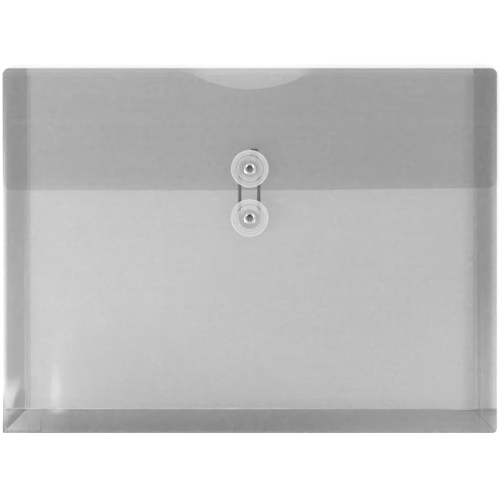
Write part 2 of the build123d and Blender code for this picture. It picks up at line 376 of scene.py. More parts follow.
# The pale lines along the scores: a painted highlight, together with the paleness of bent plastic
ACROSS_LINE_SHARE = 1.2
ACROSS_FADE_X = column_x(230)
ACROSS_END_X = column_x(400)
ACROSS_END_SHARE = 0.55
LEFT_LINE_SHARE = 0.6
RIGHT_LINE_SHARE = 0.5
LOW_LINE_SHARE = 0.3
LOW_LINE_Y = row_y(414)
LINE_WEAR = (90, 0.4, 1.0)
THIN_START_X = column_x(380)
THIN_END_X = column_x(450)
THIN_SHARE = 0.9
THIN_TOP_Y = row_y(265)
THIN_FULL_Y = row_y(340)
FOOT_START_X = column_x(45)
FOOT_LEFT_X = column_x(105)
FOOT_RIGHT_X = column_x(320)
FOOT_TOP_Y = row_y(285)
FOOT_FULL_Y = row_y(385)
FOOT_SHARE = 0.26
SHADE_TOP_Y = row_y(394)
SHADE_SHARE = 0.2
TOE_START_X = column_x(27)
TOE_FULL_X = column_x(30.5)
TOE_END_X = column_x(44)
TOE_TOP_Y = row_y(370)
TOE_FULL_Y = row_y(388)
TOE_SHARE = 0.34
STRIP_LEFT_X = column_x(477.6)
STRIP_RIGHT_X = column_x(480.6)
STRIP_BLUR = 0.35 * MM
STRIP_SHARE = 0.3
STRIP_TOP_Y = row_y(240)
STRIP_FULL_Y = row_y(330)
TOP_EDGE = 3.6 * MM
TOP_EDGE_SHARE = 0.05
# Painted highlight: the sheets are made clearer in a slanting patch on the left side
PATCH_X = column_x(20)
PATCH_Y = row_y(382)
PATCH_LEAN = 0.3  # across for each unit up
PATCH_BLUR = 1.6 * MM
PATCH_START_Y = row_y(372)
PATCH_FULL_Y = row_y(394)
PATCH_EDGE_X = column_x(2)
PATCH_INSIDE_X = column_x(8)
FRONT_HIGHLIGHT_SHARE = 0.48


def fine_line(tree, axis, place, share):
    """A share on a straight line across the sheet, and nothing a little way from it."""
    away = tree.maths("ABSOLUTE", tree.less(axis, place))
    return tree.ramp(away, LINE_CORE, LINE_REACH, share, 0.0)


def above_score(tree):
    """Nothing below the bottom score, where the corners are folded over, and one above it."""
    return tree.step(tree.y, BOTTOM_SCORE_Y, SCORE_BLUR, 0.0, 1.0)


def highlight_patch_mask(tree):
    """One in the slanting patch of the left side, above the bottom score, where the sheets are made clearer
    as a painted highlight.
    """
    rise = tree.product(tree.less(tree.y, PATCH_Y), PATCH_LEAN)
    beyond = tree.less(tree.less(tree.x, PATCH_X), rise)
    inside = tree.ramp(tree.x, PATCH_EDGE_X, PATCH_INSIDE_X, 0.0, 1.0)
    across = tree.product(inside, tree.step(beyond, 0.0, PATCH_BLUR, 1.0, 0.0))
    return tree.product(across, tree.ramp(tree.y, PATCH_FULL_Y, PATCH_START_Y, 1.0, 0.0), above_score(tree))


def front_strip(tree):
    """What the weld beside the right score adds to the front's cover."""
    left = tree.step(tree.x, STRIP_LEFT_X, STRIP_BLUR, 0.0, STRIP_SHARE)
    right = tree.step(tree.x, STRIP_RIGHT_X, STRIP_BLUR, 1.0, 0.0)
    return tree.product(left, right, tree.ramp(tree.y, STRIP_FULL_Y, STRIP_TOP_Y, 1.0, 0.0))


def bulge(tree, start_x, full_x, end_x, share, full_y, top_y):
    """A share that rises and falls across the sheet and fades towards its top."""
    rise = tree.ramp(tree.x, start_x, full_x, 0.0, 1.0)
    fall = tree.ramp(tree.x, full_x, end_x, share, 0.0)
    return tree.product(rise, fall, tree.ramp(tree.y, full_y, top_y, 1.0, 0.0))


def front_foot(tree):
    """What the front's foot adds to its cover above the bottom score: painted shade along the score, and
    darker places at its foot and toe.
    """
    foot = bulge(tree, FOOT_START_X, FOOT_LEFT_X, FOOT_RIGHT_X, FOOT_SHARE, FOOT_FULL_Y, FOOT_TOP_Y)
    toe = bulge(tree, TOE_START_X, TOE_FULL_X, TOE_END_X, TOE_SHARE, TOE_FULL_Y, TOE_TOP_Y)
    shade = tree.ramp(tree.y, BOTTOM_SCORE_Y, SHADE_TOP_Y, SHADE_SHARE, 0.0)
    return tree.product(tree.total(foot, shade, toe), above_score(tree))


def front_lines(tree):
    """One, and more on the painted shade lines beside the scores and on the weld beside the right score."""
    left = fine_line(tree, tree.y, DARK_LINE_Y, DARK_LINE_SHARE)
    right = fine_line(tree, tree.y, RIGHT_DARK_Y, RIGHT_DARK_SHARE)
    return tree.total(
        tree.ramp(tree.x, DARK_END_X, DARK_GONE_X, left, 0.0),
        tree.ramp(tree.x, RIGHT_DARK_X, RIGHT_DARK_FULL_X, 0.0, right),
        fine_line(tree, tree.x, DARK_LINE_X, UPRIGHT_DARK_SHARE),
        front_strip(tree),
        1.0,
    )


def front_thickness_and_shading(tree):
    """Thicker towards its sides and along its bottom edge; painted shade beside its scores, in a ramp by the
    right crease and in a broad place at its foot; painted light towards the left and a painted highlight in
    the left patch.
    """
    least = tree.ramp(tree.y, THIN_FULL_Y, THIN_TOP_Y, THIN_SHARE, 1.0)
    thin = tree.ramp(tree.x, THIN_START_X, THIN_END_X, 1.0, least)
    most = tree.ramp(tree.y, RAMP_LOW_Y, BOTTOM_SCORE_Y, 1.0 + RAMP_SHARE * RAMP_LOW_SHARE, 1.0 + RAMP_SHARE)
    rise = tree.ramp(tree.x, RAMP_START_X, RAMP_END_X, thin, most)
    fall = tree.ramp(tree.x, RAMP_END_X, RAMP_FALL_X, 0.0, RAMP_FALL_SHARE)
    margin = tree.product(
        tree.ramp(tree.x, MARGIN_X, MARGIN_END_X, MARGIN_SHARE, 0.0),
        tree.ramp(tree.y, MARGIN_FULL_Y, MARGIN_TOP_Y, 1.0, 0.0),
    )
    sides = tree.total(tree.less(rise, fall), margin, front_foot(tree))
    off_middle = tree.maths("ABSOLUTE", tree.less(tree.x, SAG_X))
    sag_shade = tree.product(
        tree.ramp(off_middle, 0.0, SAG_HALF_WIDTH, SAG_SHADE_SHARE, 0.0),
        tree.ramp(tree.y, front_low.y, SAG_TOP_Y, 1.0, 0.0),
    )
    low = tree.ramp(tree.y, front_low.y, front_low.y + BOTTOM_EDGE, 1.0 + BOTTOM_EDGE_SHARE, 1.0)
    top = tree.ramp(tree.y, front_high.y - TOP_EDGE, front_high.y, 1.0, TOP_EDGE_SHARE)
    patch = tree.ramp(highlight_patch_mask(tree), 0.0, 1.0, 1.0, FRONT_HIGHLIGHT_SHARE, "LINEAR")
    folds = tree.product(low, front_lines(tree), top, patch)
    return tree.product(left_light_slope(tree), sides, folds, tree.total(sag_shade, 1.0))


def score_whitening_and_highlight(tree):
    """Pale lines along the scores: a painted highlight on each bent fold, together with the paleness of bent
    plastic.
    """
    fade = tree.ramp(tree.x, ACROSS_FADE_X, ACROSS_END_X, ACROSS_LINE_SHARE, ACROSS_END_SHARE)
    across = fine_line(tree, tree.y, BOTTOM_SCORE_Y, fade)
    left = fine_line(tree, tree.x, LEFT_SCORE_X, LEFT_LINE_SHARE)
    right = fine_line(tree, tree.x, RIGHT_SCORE_X, RIGHT_LINE_SHARE)
    upright = tree.product(
        tree.maths("MAXIMUM", left, right),
        tree.ramp(tree.y, LOW_LINE_Y, BOTTOM_SCORE_Y, LOW_LINE_SHARE, 1.0),
    )
    return tree.product(tree.maths("MAXIMUM", across, upright), tree.noise(*LINE_WEAR))


# The flap and the top fold
TOP_FADE = 3.5 * MM
TOP_CLEAR_SHARE = 0.22
LEFT_END_X = column_x(27.2)
RIGHT_END_X = column_x(473.3)
END_BLUR = 0.4 * MM
LEFT_END_SHARE = 0.48
RIGHT_END_SHARE = 0.5
NOTCH_HALF_WIDTH = 38 * MM
NOTCH_BLUR = 9 * MM
NOTCH_SHARE = 0.82
BESIDE_NOTCH_SHARE = 1.13


def fold_thickness_and_light(tree):
    """Clearer at the very top and over the thumb notch; doubled where the gussets' ends are caught."""
    top = tree.ramp(tree.y, HALF_HEIGHT - TOP_FADE, HALF_HEIGHT, 1.0, 1.0 - TOP_CLEAR_SHARE)
    left = tree.step(tree.x, LEFT_END_X, END_BLUR, 1.0 + LEFT_END_SHARE, 1.0)
    right = tree.step(tree.x, RIGHT_END_X, END_BLUR, 1.0, 1.0 + RIGHT_END_SHARE)
    off_middle = tree.maths("ABSOLUTE", tree.x)
    notch = tree.step(off_middle, NOTCH_HALF_WIDTH, NOTCH_BLUR, NOTCH_SHARE, BESIDE_NOTCH_SHARE)
    return tree.product(left_light_slope(tree), top, left, right, notch)


# The gussets' leaves
LEFT_TOP_Y = row_y(180)
LEFT_FOOT_Y = row_y(345)
LEFT_TOP_SHARE = 1.05
LEFT_FOOT_SHARE = 0.84
LEFT_OUTER_X = column_x(18)
LEFT_INNER_X = column_x(26)
LEFT_OUTER_SHARE = 1.0
LEFT_INNER_SHARE = 0.9
# Painted highlight: the left leaf is made clearer in the slanting patch
LEFT_HIGHLIGHT_SHARE = 0.1
HEEL_TOP_Y = row_y(385)
HEEL_FULL_Y = row_y(397)
HEEL_SHARE = 1.45
# Painted shade: the left leaf is made thickest beside the mitre, where the folded corner's facet lies dark
MITRE_NEAR = 2.5 * MM
MITRE_FAR = 9.5 * MM
MITRE_NEAR_SHARE = 1.85
MITRE_FAR_SHARE = 0.6


def left_thickness_and_shading(tree):
    """A painted highlight clears a slanting patch above the bottom score; below the score, painted shade
    makes it thickest beside the mitre.
    """
    height = tree.ramp(tree.y, LEFT_FOOT_Y, LEFT_TOP_Y, LEFT_FOOT_SHARE, LEFT_TOP_SHARE)
    across = tree.ramp(tree.x, LEFT_OUTER_X, LEFT_INNER_X, LEFT_OUTER_SHARE, LEFT_INNER_SHARE)
    heel = tree.ramp(tree.y, HEEL_FULL_Y, HEEL_TOP_Y, HEEL_SHARE, 1.0)
    patch = tree.ramp(highlight_patch_mask(tree), 0.0, 1.0, 1.0, LEFT_HIGHLIGHT_SHARE, "LINEAR")
    above = tree.product(height, across, heel, patch)
    away = tree.less(tree.y, tree.total(tree.x, HALF_WIDTH - HALF_HEIGHT))
    corner = tree.ramp(away, MITRE_NEAR, MITRE_FAR, MITRE_NEAR_SHARE, MITRE_FAR_SHARE)
    return tree.ramp(above_score(tree), 0.0, 1.0, corner, above)


CREASE_THIN_SHARE = 0.12
RIGHT_THIN_REACH = 2.8 * MM
RIGHT_LOW_Y = row_y(405)
RIGHT_HIGH_Y = row_y(250)
RIGHT_LOW_SHARE = 0.25
RIGHT_FOOT_Y = row_y(430)
RIGHT_FOOT_SHARE = 0.75
RIGHT_CORNER_SHARE = 1.2


def right_thickness(tree):
    """Thin in its crease and towards its foot; below the bottom score, doubled."""
    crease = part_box("right_gusset_front")[0].x
    thin = tree.ramp(tree.x, crease, crease + RIGHT_THIN_REACH, CREASE_THIN_SHARE, 1.0)
    above = tree.ramp(tree.y, RIGHT_LOW_Y, RIGHT_HIGH_Y, RIGHT_LOW_SHARE, 1.0)
    corner = tree.ramp(tree.y, RIGHT_FOOT_Y, BOTTOM_SCORE_Y, RIGHT_FOOT_SHARE, RIGHT_CORNER_SHARE)
    return tree.product(thin, tree.ramp(above_score(tree), 0.0, 1.0, corner, above))


BAND_EDGE_Y = row_y(409.08)
BAND_BLUR = 0.12 * MM
BAND_DROP = 0.5 * MM
BAND_DROP_X = column_x(442)
BAND_DROP_END_X = column_x(454)
BEND_SHARE = 0.08
BAND_TOP_Y = row_y(410)
BAND_FOOT_Y = row_y(430)
BAND_LEFT_X = column_x(200)
BAND_RIGHT_X = column_x(430)
LEFT_TOP_BAND_SHARE = 1.0
RIGHT_TOP_BAND_SHARE = 0.82
LEFT_FOOT_BAND_SHARE = 1.36
RIGHT_FOOT_BAND_SHARE = 0.77
# Painted glint: the bottom leaf is made nearly clear at the foot of the front's streak
GLOW_X = column_x(57.5)
GLOW_Y = row_y(409.8)
GLOW_HALF_WIDTH = 9.0 * MM
GLOW_HALF_HEIGHT = 4.4 * MM
GLOW_SHARE = 0.05
CUT_X = column_x(41)
CUT_END_X = column_x(78)
CUT_SHARE = 0.7
SINGLE_START_X = column_x(28)
SINGLE_FULL_X = column_x(38)
SINGLE_START_SHARE = 1.15
SINGLE_SHARE = 1.3


def bottom_thickness_and_glint(tree):
    """Clear in the bend of its crease and in a painted glint at the foot of the front's streak; thinner up to
    the back leaf's cut end, and thicker past it."""
    level = tree.total(tree.y, tree.ramp(tree.x, BAND_DROP_X, BAND_DROP_END_X, 0.0, BAND_DROP))
    bend = tree.step(level, BAND_EDGE_Y, BAND_BLUR, 1.0, BEND_SHARE)
    top = tree.ramp(tree.x, BAND_LEFT_X, BAND_RIGHT_X, LEFT_TOP_BAND_SHARE, RIGHT_TOP_BAND_SHARE)
    foot = tree.ramp(tree.x, BAND_LEFT_X, BAND_RIGHT_X, LEFT_FOOT_BAND_SHARE, RIGHT_FOOT_BAND_SHARE)
    height = tree.ramp(tree.y, BAND_FOOT_Y, BAND_TOP_Y, foot, top)
    across = tree.maths("DIVIDE", tree.less(tree.x, GLOW_X), GLOW_HALF_WIDTH)
    along = tree.maths("DIVIDE", tree.less(tree.y, GLOW_Y), GLOW_HALF_HEIGHT)
    glow = tree.ramp(tree.distance(across, along), 0.0, 1.0, GLOW_SHARE, 1.0)
    single = tree.ramp(tree.x, SINGLE_START_X, SINGLE_FULL_X, SINGLE_START_SHARE, SINGLE_SHARE)
    double = tree.ramp(tree.x, CUT_X, CUT_END_X, CUT_SHARE, 1.0)
    beyond = tree.maths("GREATER_THAN", tree.x, CUT_X)
    return tree.product(bend, height, tree.ramp(beyond, 0.0, 1.0, single, double), glow)


TUCK_START_X = column_x(12)
TUCK_FULL_X = column_x(36)
TUCK_START_SHARE = 0.55
TUCK_FULL_SHARE = 1.7


def tuck_thickness(tree):
    """Clearer at its tip."""
    return tree.ramp(tree.x, TUCK_START_X, TUCK_FULL_X, TUCK_START_SHARE, TUCK_FULL_SHARE, "LINEAR")


MILK = (0.84, 0.84, 0.845, 1)
MILK_ROUGHNESS = (900, 0.14, 0.22)
MILK_GRAIN = (2600, 0.04, 0.02 * MM)
MILK_CLOUDS = (350, 0.96, 1.04)
WASHER_COVER = (350, 0.2375, 0.2625)
# The disc's covers: near full at the rim as a painted highlight, nothing at the step's groove as a painted
# shade line
DISC_COVERS = [
    (2.0, 0.33),
    (5.2, 0.33),
    (6.6, 0.38),
    (8.3, 0.45),
    (8.6, 0.42),
    (8.95, 0.0),
    (9.3, 0.36),
    (9.6, 0.43),
    (11.3, 0.45),
    (11.8, 0.62),
    (12.1, 0.9),
    (12.5, 0.95),
]


def milky_plastic(name, cover):
    """See-through milky plastic; cover, given the tree, returns the share of light that it stops."""
    tree = new_tree(name)
    plastic = {
        "Base Color": MILK,
        "Roughness": tree.noise(*MILK_ROUGHNESS),
        "Normal": tree.grain(*MILK_GRAIN),
    }
    return tree.finish(tree.see_through(cover(tree), tree.principled(plastic)))


def disc_cover(tree, y):
    """Whiter where the moulding is thicker, with a painted highlight at the rim and a painted shade line at
    the step: covers at distances, in millimetres, from the middle.
    """
    away = tree.distance(tree.x, tree.less(tree.y, y))
    cover = DISC_COVERS[0][1]
    for (near, first), (far, second) in zip(DISC_COVERS, DISC_COVERS[1:]):
        cover = tree.total(tree.ramp(away, near * MM, far * MM, 0.0, second - first), cover)
    return tree.product(cover, tree.noise(*MILK_CLOUDS))


METAL_GRAIN = (3000, 0.05, 0.02 * MM)
NICKEL = (0.86, 0.86, 0.8686, 1)
NICKEL_ROUGHNESS = (1500, 0.26, 0.36)
# Painted shade: the bore is darker on the side towards the flap's fold and paler on the other
BORE_SHADED = (0.05, 0.05, 0.052, 1)
BORE_LIT = (0.55, 0.55, 0.556, 1)
BORE_METALLIC = 0.3
BORE_ROUGHNESS = (1500, 0.45, 0.6)


def metal(tree, colour, metallic, roughness):
    inputs = {
        "Base Color": colour,
        "Metallic": metallic,
        "Roughness": tree.noise(*roughness),
        "Normal": tree.grain(*METAL_GRAIN),
    }
    return tree.finish(tree.principled(inputs))


def shaded_bore_metal(name, y):
    """The dull inside of an eyelet, with painted shade darkest on the side towards the flap's fold."""
    tree = new_tree(name)
    shade = tree.step(tree.y, y, INSIDE_RADIUS, 0.0, 1.0)
    return metal(tree, tree.tones(shade, BORE_LIT, BORE_SHADED), BORE_METALLIC, BORE_ROUGHNESS)


DARK_YARN = (0.10, 0.10, 0.103, 1)
PALE_YARN = (0.22, 0.22, 0.224, 1)
YARN_TONES = (1800, 0.0, 1.0)
YARN_ROUGHNESS = 0.8
YARN_SHEEN = 0.25
YARN_GRAIN = (6000, 0.4, 0.04 * MM)


def charcoal_yarn():
    tree = new_tree("charcoal_yarn")
    inputs = {
        "Base Color": tree.tones(tree.noise(*YARN_TONES), DARK_YARN, PALE_YARN),
        "Roughness": YARN_ROUGHNESS,
        "Sheen Weight": YARN_SHEEN,
        "Normal": tree.grain(*YARN_GRAIN),
    }
    return tree.finish(tree.principled(inputs))


back_film = smoke_sheet("smoke_back", PANEL_COVER, back_thickness_and_light)
front_film = smoke_sheet("smoke_front", PANEL_COVER, front_thickness_and_shading, score_whitening_and_highlight)
# The flap's cover is multiplied only by the painted light towards the left
flap_film = smoke_sheet("smoke_flap", FLAP_COVER, left_light_slope)
fold_smoke = smoke_sheet("smoke_fold", PANEL_COVER, fold_thickness_and_light, None, LEAF_IOR, FOLD_LEAST_SLANT)
left_leaf = smoke_sheet("smoke_left_leaf", LEFT_LEAF_COVER, left_thickness_and_shading, ior=LEAF_IOR)
right_leaf = smoke_sheet("smoke_right_leaf", RIGHT_LEAF_COVER, right_thickness, ior=LEAF_IOR)
bottom_leaf = smoke_sheet("smoke_bottom_leaf", BOTTOM_LEAF_COVER, bottom_thickness_and_glint, ior=LEAF_IOR)
left_nose = smoke_sheet("smoke_left_nose", LEFT_NOSE_COVER, ior=LEAF_IOR)
nose_film = smoke_sheet("smoke_nose", NOSE_COVER, right_thickness, ior=LEAF_IOR)
low_nose = smoke_sheet("smoke_low_nose", NOSE_COVER, bottom_thickness_and_glint, ior=LEAF_IOR)
weld_film = smoke_sheet("smoke_weld", WELD_COVER, ior=LEAF_IOR)
dot_film = smoke_sheet("smoke_dots", DOT_COVER, ior=LEAF_IOR, colour=PALE_WHITENING_AND_HIGHLIGHT, haze=DOT_HAZE)
tuck_film = smoke_sheet("smoke_tuck", TUCK_COVER, tuck_thickness, ior=LEAF_IOR)
upper_milk = milky_plastic("upper_milk", lambda tree: disc_cover(tree, UPPER_Y))
lower_milk = milky_plastic("lower_milk", lambda tree: disc_cover(tree, LOWER_Y))
washer_plastic = milky_plastic("washer_plastic", lambda tree: tree.noise(*WASHER_COVER))
bright_nickel = metal(new_tree("bright_nickel"), NICKEL, 1.0, NICKEL_ROUGHNESS)
yarn = charcoal_yarn()


def new_piece(name, mesh, body, slot, replaced=(), *materials):
    piece = new_object(name, mesh)
    for material in materials:
        mesh.materials.append(material)
    if body:
        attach(piece, body)
    if replaced:
        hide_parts(*replaced)
    return piece


def dress(names, material):
    for name in names:
        mesh = nodes[name].data
        mesh.materials.clear()
        mesh.materials.append(material)


# Finer sheets: copies of the frame's sheets, cut into a grid
SMOOTH_ANGLE = math.radians(35)
FLAT_ANGLE = math.radians(0.5)
MERGE_DISTANCE = 0.001 * MM
CUT_DISTANCE = 0.0001 * MM


def cut_copy(node, cuts):
    """A finer copy of a sheet's mesh; cuts holds the places of the cuts along x, y and z."""
    form = bmesh.new()
    form.from_mesh(nodes[node].data)
    bmesh.ops.remove_doubles(form, verts=form.verts, dist=MERGE_DISTANCE)
    bmesh.ops.dissolve_limit(form, angle_limit=FLAT_ANGLE, verts=form.verts, edges=form.edges)
    for axis, places in enumerate(cuts):
        normal = Vector((0, 0, 0))
        normal[axis] = 1
        for place in places:
            parts = form.verts[:] + form.edges[:] + form.faces[:]
            point = normal * place
            bmesh.ops.bisect_plane(form, geom=parts, dist=CUT_DISTANCE, plane_co=point, plane_no=normal)
    return form


def close_form(form, name):
    mesh = bpy.data.meshes.new(name)
    form.to_mesh(mesh)
    form.free()
    mesh.shade_smooth()
    mesh.set_sharp_from_angle(angle=SMOOTH_ANGLE)
    return mesh


def add_form(name, form, *rest):
    return new_piece(name, close_form(form, name), *rest)


def spread(low, high, step):
    """Evenly spaced places from low to high."""
    count = max(1, round((high - low) / step))
    return [low + (high - low) * number / count for number in range(count + 1)]


def hill(value, middle, reach):
    """One at the middle, falling smoothly to nothing at reach from it."""
    share = min(1.0, abs(value - middle) / reach)
    return (1 - share * share) ** 2


def rising(value, low, high):
    share = min(1.0, max(0.0, (value - low) / (high - low)))
    return share * share * (3 - 2 * share)


GRID_STEP = 6 * MM
FINE_STEP = 1.2 * MM
SCORE_STEP = 0.22 * MM
SCORE_REACH = 0.8 * MM
SCORE_DEPTH = 0.2 * MM
RIGHT_SCORE_SHARE = 0.8
LEFT_SCORE_SHARE = 0.5
STREAK_X = column_x(63)
STREAK_LEAN = 0.085  # across for each unit up
STREAK_REACH = 10.0 * MM
STREAK_TOP_Y = row_y(305)
STREAK_FULL_Y = row_y(400)
STREAK_LOW_REACH = 20 * MM
STREAK_RISE = 1.25 * MM
SLANT_TOP_X = column_x(17)
SLANT_TOP_Y = row_y(383)
SLANT_END_X = column_x(10)
SLANT_END_Y = row_y(404)
SLANT_REACH = 4.6 * MM
SLANT_FADE_SHARE = 0.75
SLANT_RISE = 0.45 * MM
WAVE_RISE = 0.12 * MM
WAVE_LENGTH_X = 92 * MM
WAVE_LENGTH_Y = 61 * MM
WAVE_PHASE = 1.0
WAVE_SIDE_NEAR = 20 * MM
WAVE_SIDE_FAR = 40 * MM
WAVE_LOW_Y = -90 * MM
WAVE_FULL_Y = -60 * MM


def wave(x, y):
    """The slow unevenness of a large plastic sheet."""
    across = math.sin(math.tau * x / WAVE_LENGTH_X + WAVE_PHASE)
    return WAVE_RISE * across * math.cos(math.tau * y / WAVE_LENGTH_Y)


def front_relief(x, y):
    """How far the front sheet stands out of its plane at rest."""
    relief = -SCORE_DEPTH * hill(y, BOTTOM_SCORE_Y, SCORE_REACH)
    upright = RIGHT_SCORE_SHARE * hill(x, RIGHT_SCORE_X, SCORE_REACH)
    upright += LEFT_SCORE_SHARE * hill(x, LEFT_SCORE_X, SCORE_REACH)
    relief -= SCORE_DEPTH * upright * rising(y, LOW_LINE_Y, BOTTOM_SCORE_Y)
    fade = 1 - rising(y, STREAK_FULL_Y, STREAK_TOP_Y)
    low_fade = rising(y, BOTTOM_SCORE_Y - STREAK_REACH, BOTTOM_SCORE_Y + STREAK_LOW_REACH)
    streak_x = STREAK_X + STREAK_LEAN * (y - STREAK_FULL_Y)
    relief += STREAK_RISE * hill(x, streak_x, STREAK_REACH) * fade * low_fade
    along = min(1.0, max(0.0, (y - SLANT_TOP_Y) / (SLANT_END_Y - SLANT_TOP_Y)))
    slant_x = SLANT_TOP_X + (SLANT_END_X - SLANT_TOP_X) * along
    slant_fade = hill(y, (SLANT_TOP_Y + SLANT_END_Y) / 2, (SLANT_TOP_Y - SLANT_END_Y) * SLANT_FADE_SHARE)
    relief += SLANT_RISE * hill(x, slant_x, SLANT_REACH) * slant_fade
    within = rising(HALF_WIDTH - abs(x), WAVE_SIDE_NEAR, WAVE_SIDE_FAR)
    inside = min(within, rising(y, WAVE_LOW_Y, WAVE_FULL_Y))
    return relief + wave(x, y) * inside


def front_sheet():
    columns = spread(front_low.x, front_high.x, GRID_STEP)
    streak_end = STREAK_X + STREAK_LEAN * (STREAK_TOP_Y - STREAK_FULL_Y) + STREAK_REACH
    columns += spread(STREAK_X - STREAK_REACH, streak_end, FINE_STEP)
    columns += spread(SLANT_END_X - SLANT_REACH, SLANT_TOP_X + SLANT_REACH, FINE_STEP)
    for score in (LEFT_SCORE_X, RIGHT_SCORE_X):
        columns += spread(score - SCORE_REACH, score + SCORE_REACH, SCORE_STEP)
    rows = spread(front_low.y, front_high.y, GRID_STEP)
    rows += spread(SLANT_END_Y - SLANT_REACH, SLANT_TOP_Y + SLANT_REACH, FINE_STEP)
    rows += spread(BOTTOM_SCORE_Y - SCORE_REACH, BOTTOM_SCORE_Y + SCORE_REACH, SCORE_STEP)
    form = cut_copy("front_panel", (columns, rows, []))
    for corner in form.verts:
        corner.co.z += front_relief(corner.co.x, corner.co.y)
    add_form("front_sheet", form, "front", "sheet", ["front_panel"], front_film)


SKEW = 1.3 * MM
SKEW_REACH = 30 * MM
FLAP_WAVE_SHARE = 0.6


def flap_sheet():
    columns = spread(flap_low.x, flap_high.x, GRID_STEP)
    rows = spread(flap_low.y, flap_high.y, GRID_STEP)
    form = cut_copy("flap_panel", (columns, rows, []))
    for corner in form.verts:
        x, y = corner.co.x, corner.co.y
        corner.co.y += SKEW * rising(flap_low.y + SKEW_REACH - y, 0, SKEW_REACH) * rising(x, 0, HALF_WIDTH)
        inside = rising(flap_high.y - y, 0, SKEW_REACH)
        corner.co.z += FLAP_WAVE_SHARE * wave(x, y) * inside
    add_form("flap_sheet", form, "flap", "sheet", ["flap_panel"], flap_film)


FOLD_STEP = 0.35 * MM


def top_fold():
    """The rolled top edge: finer copies of the frame's web and fold, as two films."""
    form = cut_copy("spine_web", ([], [], spread(web_low.z, web_high.z, FOLD_STEP)))
    web = add_form("spine_film", form, None, "sheet", ["spine_web"], fold_smoke)
    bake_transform(web)
    form = cut_copy("flap_fold", ([], [], spread(fold_low.z, fold_high.z, FOLD_STEP)))
    fold = add_form("fold_film", form, None, "sheet", ["flap_fold"], fold_smoke)
    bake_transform(fold)


# Creases and welds
CREASE_CLEAR = 0.03 * MM
NOSE_WALL = 0.3 * MM
NOSE_STEPS = 12
LEFT_NOSE_REACH = 2.3 * MM
NOSE_REACH = 0.7 * MM


def ring(form, middle, side, over, turns):
    """Corners round a middle, each turned from side towards over."""
    return [form.verts.new(middle + math.cos(turn) * side + math.sin(turn) * over) for turn in turns]


def join(form, low, high):
    """Faces between two rings of corners."""
    for place in range(len(low)):
        beyond = (place + 1) % len(low)
        form.faces.new((low[place], low[beyond], high[beyond], high[place]))


def bridge(form, rings):
    """A closed skin over rings of corners."""
    for low, high in zip(rings, rings[1:]):
        join(form, low, high)
    form.faces.new(rings[0][::-1])
    form.faces.new(rings[-1])
    bmesh.ops.recalc_face_normals(form, faces=form.faces)


def even_turns(sides):
    return [math.tau * number / sides for number in range(sides)]


def crease_nose(side, inward, first, last, reach, material):
    """The rounded inner crease of a gusset."""
    joint = next(joint for joint in frame["joints"] if joint["name"] == side + "_crease")
    crease = Vector(joint["pos_m"])
    along = Vector((abs(inward.y), abs(inward.x), 0))
    height = SHEET + CREASE_CLEAR
    form = bmesh.new()
    loops = []
    for end in (first, last):
        base = crease - crease.dot(along) * along + end * along
        loop = []
        for deep, tall in ((reach, height), (reach - NOSE_WALL, height - NOSE_WALL)):
            arc = []
            for step in range(NOSE_STEPS + 1):
                turn = math.pi * step / NOSE_STEPS - math.pi / 2
                arc.append(base + inward * deep * math.cos(turn) + Vector((0, 0, tall * math.sin(turn))))
            loop += arc if deep == reach else arc[::-1]
        loops.append([form.verts.new(point) for point in loop])
    bridge(form, loops)
    piece = add_form(side + "_crease_nose", form, None, "sheet", (), material)
    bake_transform(piece)


def creases():
    left_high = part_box("left_gusset_back")[1]
    right_low, right_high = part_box("right_gusset_back")
    base_low, base_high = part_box("bottom_gusset_back")
    crease_nose("left", Vector((1, 0, 0)), base_high.y, left_high.y, LEFT_NOSE_REACH, left_nose)
    crease_nose("right", Vector((-1, 0, 0)), base_high.y, right_high.y, NOSE_REACH, nose_film)
    crease_nose("bottom", Vector((0, 1, 0)), base_low.x, right_low.x, NOSE_REACH, low_nose)


MITRE_START = 1.0 * MM
MITRE_WIDTH = 0.6 * MM
MITRE_WALL = 0.3 * MM
BAR_SIDES = 8


def bar(form, first, last, width, wall):
    """A flat bar between two points, its width level and its corners eased by its section."""
    ahead = (last - first).normalized()
    side = ahead.cross(Vector((0, 0, 1))).normalized() * width / 2
    over = side.cross(ahead).normalized() * wall / 2
    turns = [turn + math.pi / BAR_SIDES for turn in even_turns(BAR_SIDES)]
    bridge(form, [ring(form, end, side, over, turns) for end in (first, last)])


def mitre_weld(side, way):
    """The weld along the slanting end of a side gusset's front leaf."""
    low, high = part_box(side + "_gusset_front")
    reach = high.x - low.x
    outer = Vector((way * (HALF_WIDTH - MITRE_START), -HALF_HEIGHT + MITRE_START, high.z - SHEET / 2))
    inner = Vector((way * (HALF_WIDTH - reach), -HALF_HEIGHT + reach, low.z + SHEET / 2))
    form = bmesh.new()
    bar(form, outer, inner, MITRE_WIDTH, MITRE_WALL)
    add_form(side + "_mitre_weld", form, side + "_gusset_front", "sheet", (), weld_film)


TUCK_START = 1.2 * MM
TUCK_END = 15.4 * MM
TUCK_RIGHT_GAP = 0.1 * MM
TUCK_FOOT = 0.15 * MM
TUCK_SHIFT = 0.9 * MM  # from the left gusset's mitre
TUCK_WALL = 0.25 * MM
TUCK_CLEAR = 0.03 * MM


def corner_tuck():
    """The end of the bottom gusset that is tucked flat on the back in the left corner."""
    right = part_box("bottom_gusset_front")[0].x - TUCK_RIGHT_GAP
    outline = [
        (TUCK_START - HALF_WIDTH + TUCK_SHIFT, TUCK_START - HALF_HEIGHT),
        (TUCK_START - HALF_WIDTH + TUCK_SHIFT, TUCK_FOOT - HALF_HEIGHT),
        (right, TUCK_FOOT - HALF_HEIGHT),
        (right, TUCK_END - HALF_HEIGHT),
        (TUCK_END - HALF_WIDTH + TUCK_SHIFT, TUCK_END - HALF_HEIGHT),
    ]
    base = back_high.z + TUCK_CLEAR
    form = bmesh.new()
    low = [form.verts.new((x, y, base)) for x, y in outline]
    high = [form.verts.new((x, y, base + TUCK_WALL)) for x, y in outline]
    bridge(form, [low, high])
    add_form("corner_tuck", form, "back", "sheet", (), tuck_film)


